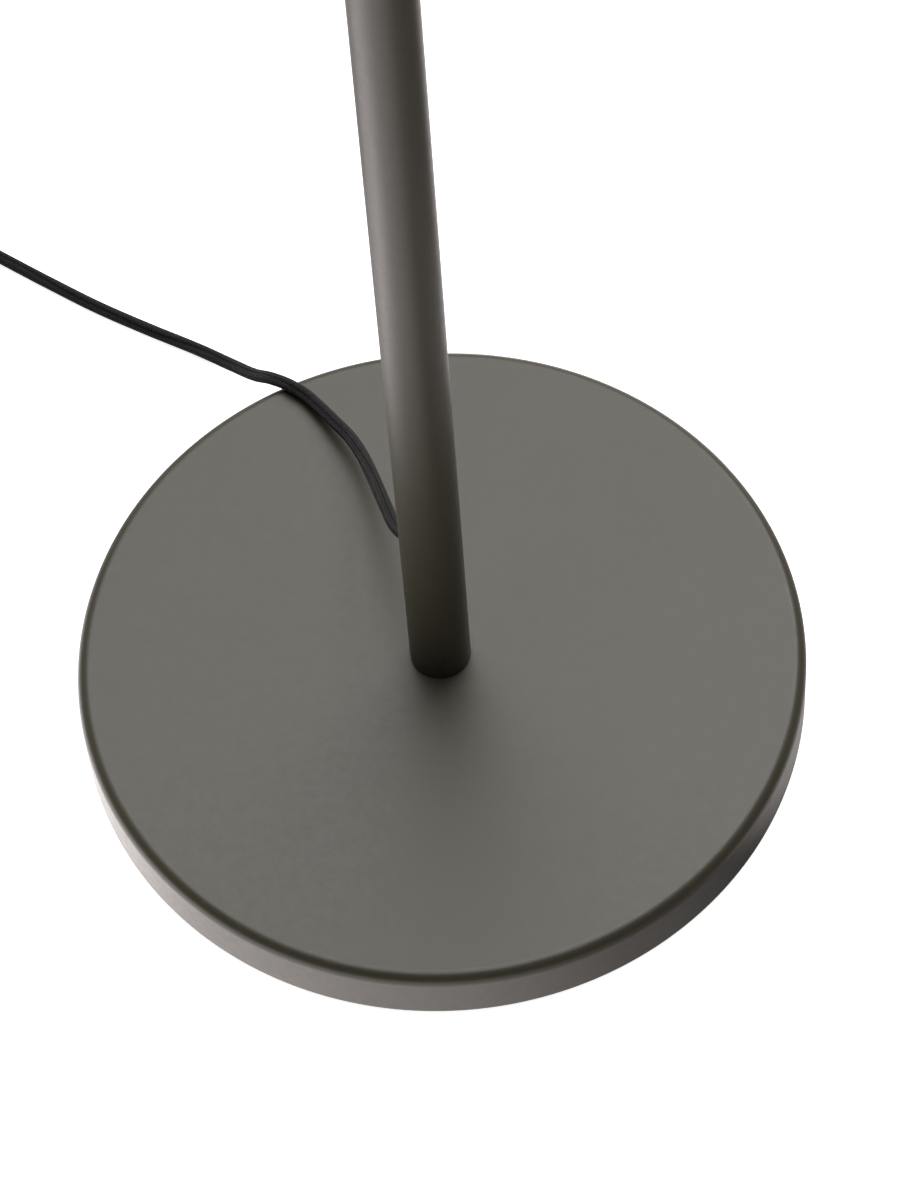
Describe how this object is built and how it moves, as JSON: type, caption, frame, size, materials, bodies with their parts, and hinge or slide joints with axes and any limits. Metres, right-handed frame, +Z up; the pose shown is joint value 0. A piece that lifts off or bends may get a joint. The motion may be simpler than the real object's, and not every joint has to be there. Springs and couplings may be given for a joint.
{
  "type": "adjustable arm floor lamp",
  "caption": "Floor lamp with a round weighted base, a slim pole, an arm on friction joints at both ends, a domed metal shade and a textile cord from the pole.",
  "frame": {"origin": "middle of the base's underside, on the floor", "axes": "+Z up the pole, +X along the arm at rest, cord leaving towards -X and +Y"},
  "size_m": [0.958, 0.4182, 1.2525],
  "materials": {
    "powder_coated_steel": "satin warm grey powder coat",
    "powder_coated_aluminium": "satin warm grey powder coat",
    "zinc_plated_steel": "bright zinc plate",
    "cast_iron": "rough casting, sealed",
    "brass": "turned",
    "nylon": "moulded, natural",
    "black_plastic": "fine moulded texture",
    "pad_foam": "closed-cell foam rubber",
    "textile_cord": "braided textile over a round lead",
    "opal_glass": "opal, satin"
  },
  "bodies": {
    "stand": {"base_cover": "powder_coated_steel", "ballast_plate": "cast_iron", "floor_pad": "pad_foam", "base_washer": "zinc_plated_steel", "base_bolt": "zinc_plated_steel", "pole_foot": "zinc_plated_steel", "lower_pole": "powder_coated_steel", "strain_relief": "black_plastic", "cord_anchor": "nylon", "anchor_screw": "zinc_plated_steel", "pole_coupler": "powder_coated_steel", "upper_pole": "powder_coated_steel", "swivel_socket": "powder_coated_steel", "swivel_bush": "nylon", "swivel_stop_screw": "zinc_plated_steel", "pole_lead": "textile_cord", "cord_lead": "textile_cord", "cord_coil": "textile_cord", "cord_tail": "textile_cord", "plug_body": "black_plastic", "plug_pin_left": "brass", "plug_pin_right": "brass"},
    "swivel": {"swivel_yoke": "powder_coated_aluminium", "swivel_spring_washer": "zinc_plated_steel", "swivel_stop_washer": "zinc_plated_steel", "swivel_nut": "zinc_plated_steel", "tilt_bush_left": "nylon", "tilt_bush_right": "nylon"},
    "arm": {"arm_knuckle": "powder_coated_aluminium", "tilt_screw": "zinc_plated_steel", "tilt_stud": "zinc_plated_steel", "tilt_knob": "black_plastic", "arm_tube": "powder_coated_steel", "arm_screw": "zinc_plated_steel", "arm_end_plug": "powder_coated_aluminium", "arm_lead": "textile_cord"},
    "head_swivel": {"head_fork": "powder_coated_aluminium", "roll_spring_washer": "zinc_plated_steel", "roll_washer": "zinc_plated_steel", "roll_nut": "zinc_plated_steel", "head_bush_left": "nylon", "head_bush_right": "nylon"},
    "head": {"head_knuckle": "powder_coated_aluminium", "head_screw_left": "zinc_plated_steel", "head_screw_right": "zinc_plated_steel", "head_lead": "textile_cord", "head_cup": "powder_coated_aluminium", "cup_nut": "zinc_plated_steel", "switch_bezel": "zinc_plated_steel", "switch_body": "black_plastic", "lamp_holder": "black_plastic", "centre_contact": "brass", "shade": "powder_coated_aluminium", "shade_ring": "black_plastic", "bulb_cap": "brass", "bulb_globe": "opal_glass"},
    "switch": {"switch_button": "black_plastic"}
  },
  "joints": [
    {"name": "arm_swivel", "type": "hinge", "parent": "stand", "child": "swivel", "pos_m": [0, 0, 1.2064], "axis": [0, 0, 1], "range_deg": [-155, 155]},
    {"name": "arm_tilt", "type": "hinge", "parent": "swivel", "child": "arm", "pos_m": [0, 0, 1.24], "axis": [0, -1, 0], "range_deg": [-45, 80]},
    {"name": "head_roll", "type": "hinge", "parent": "arm", "child": "head_swivel", "pos_m": [0.574, 0, 1.24], "axis": [1, 0, 0], "range_deg": [-90, 90]},
    {"name": "head_tilt", "type": "hinge", "parent": "head_swivel", "child": "head", "pos_m": [0.6, 0, 1.24], "axis": [0, -1, 0], "range_deg": [-45, 90]},
    {"name": "switch_press", "type": "slide", "parent": "head", "child": "switch", "axis": [0, 0, -1], "range_m": [0, 0.0025], "stiffness_N_per_m": 400, "springref_m": -0.001}
  ]
}
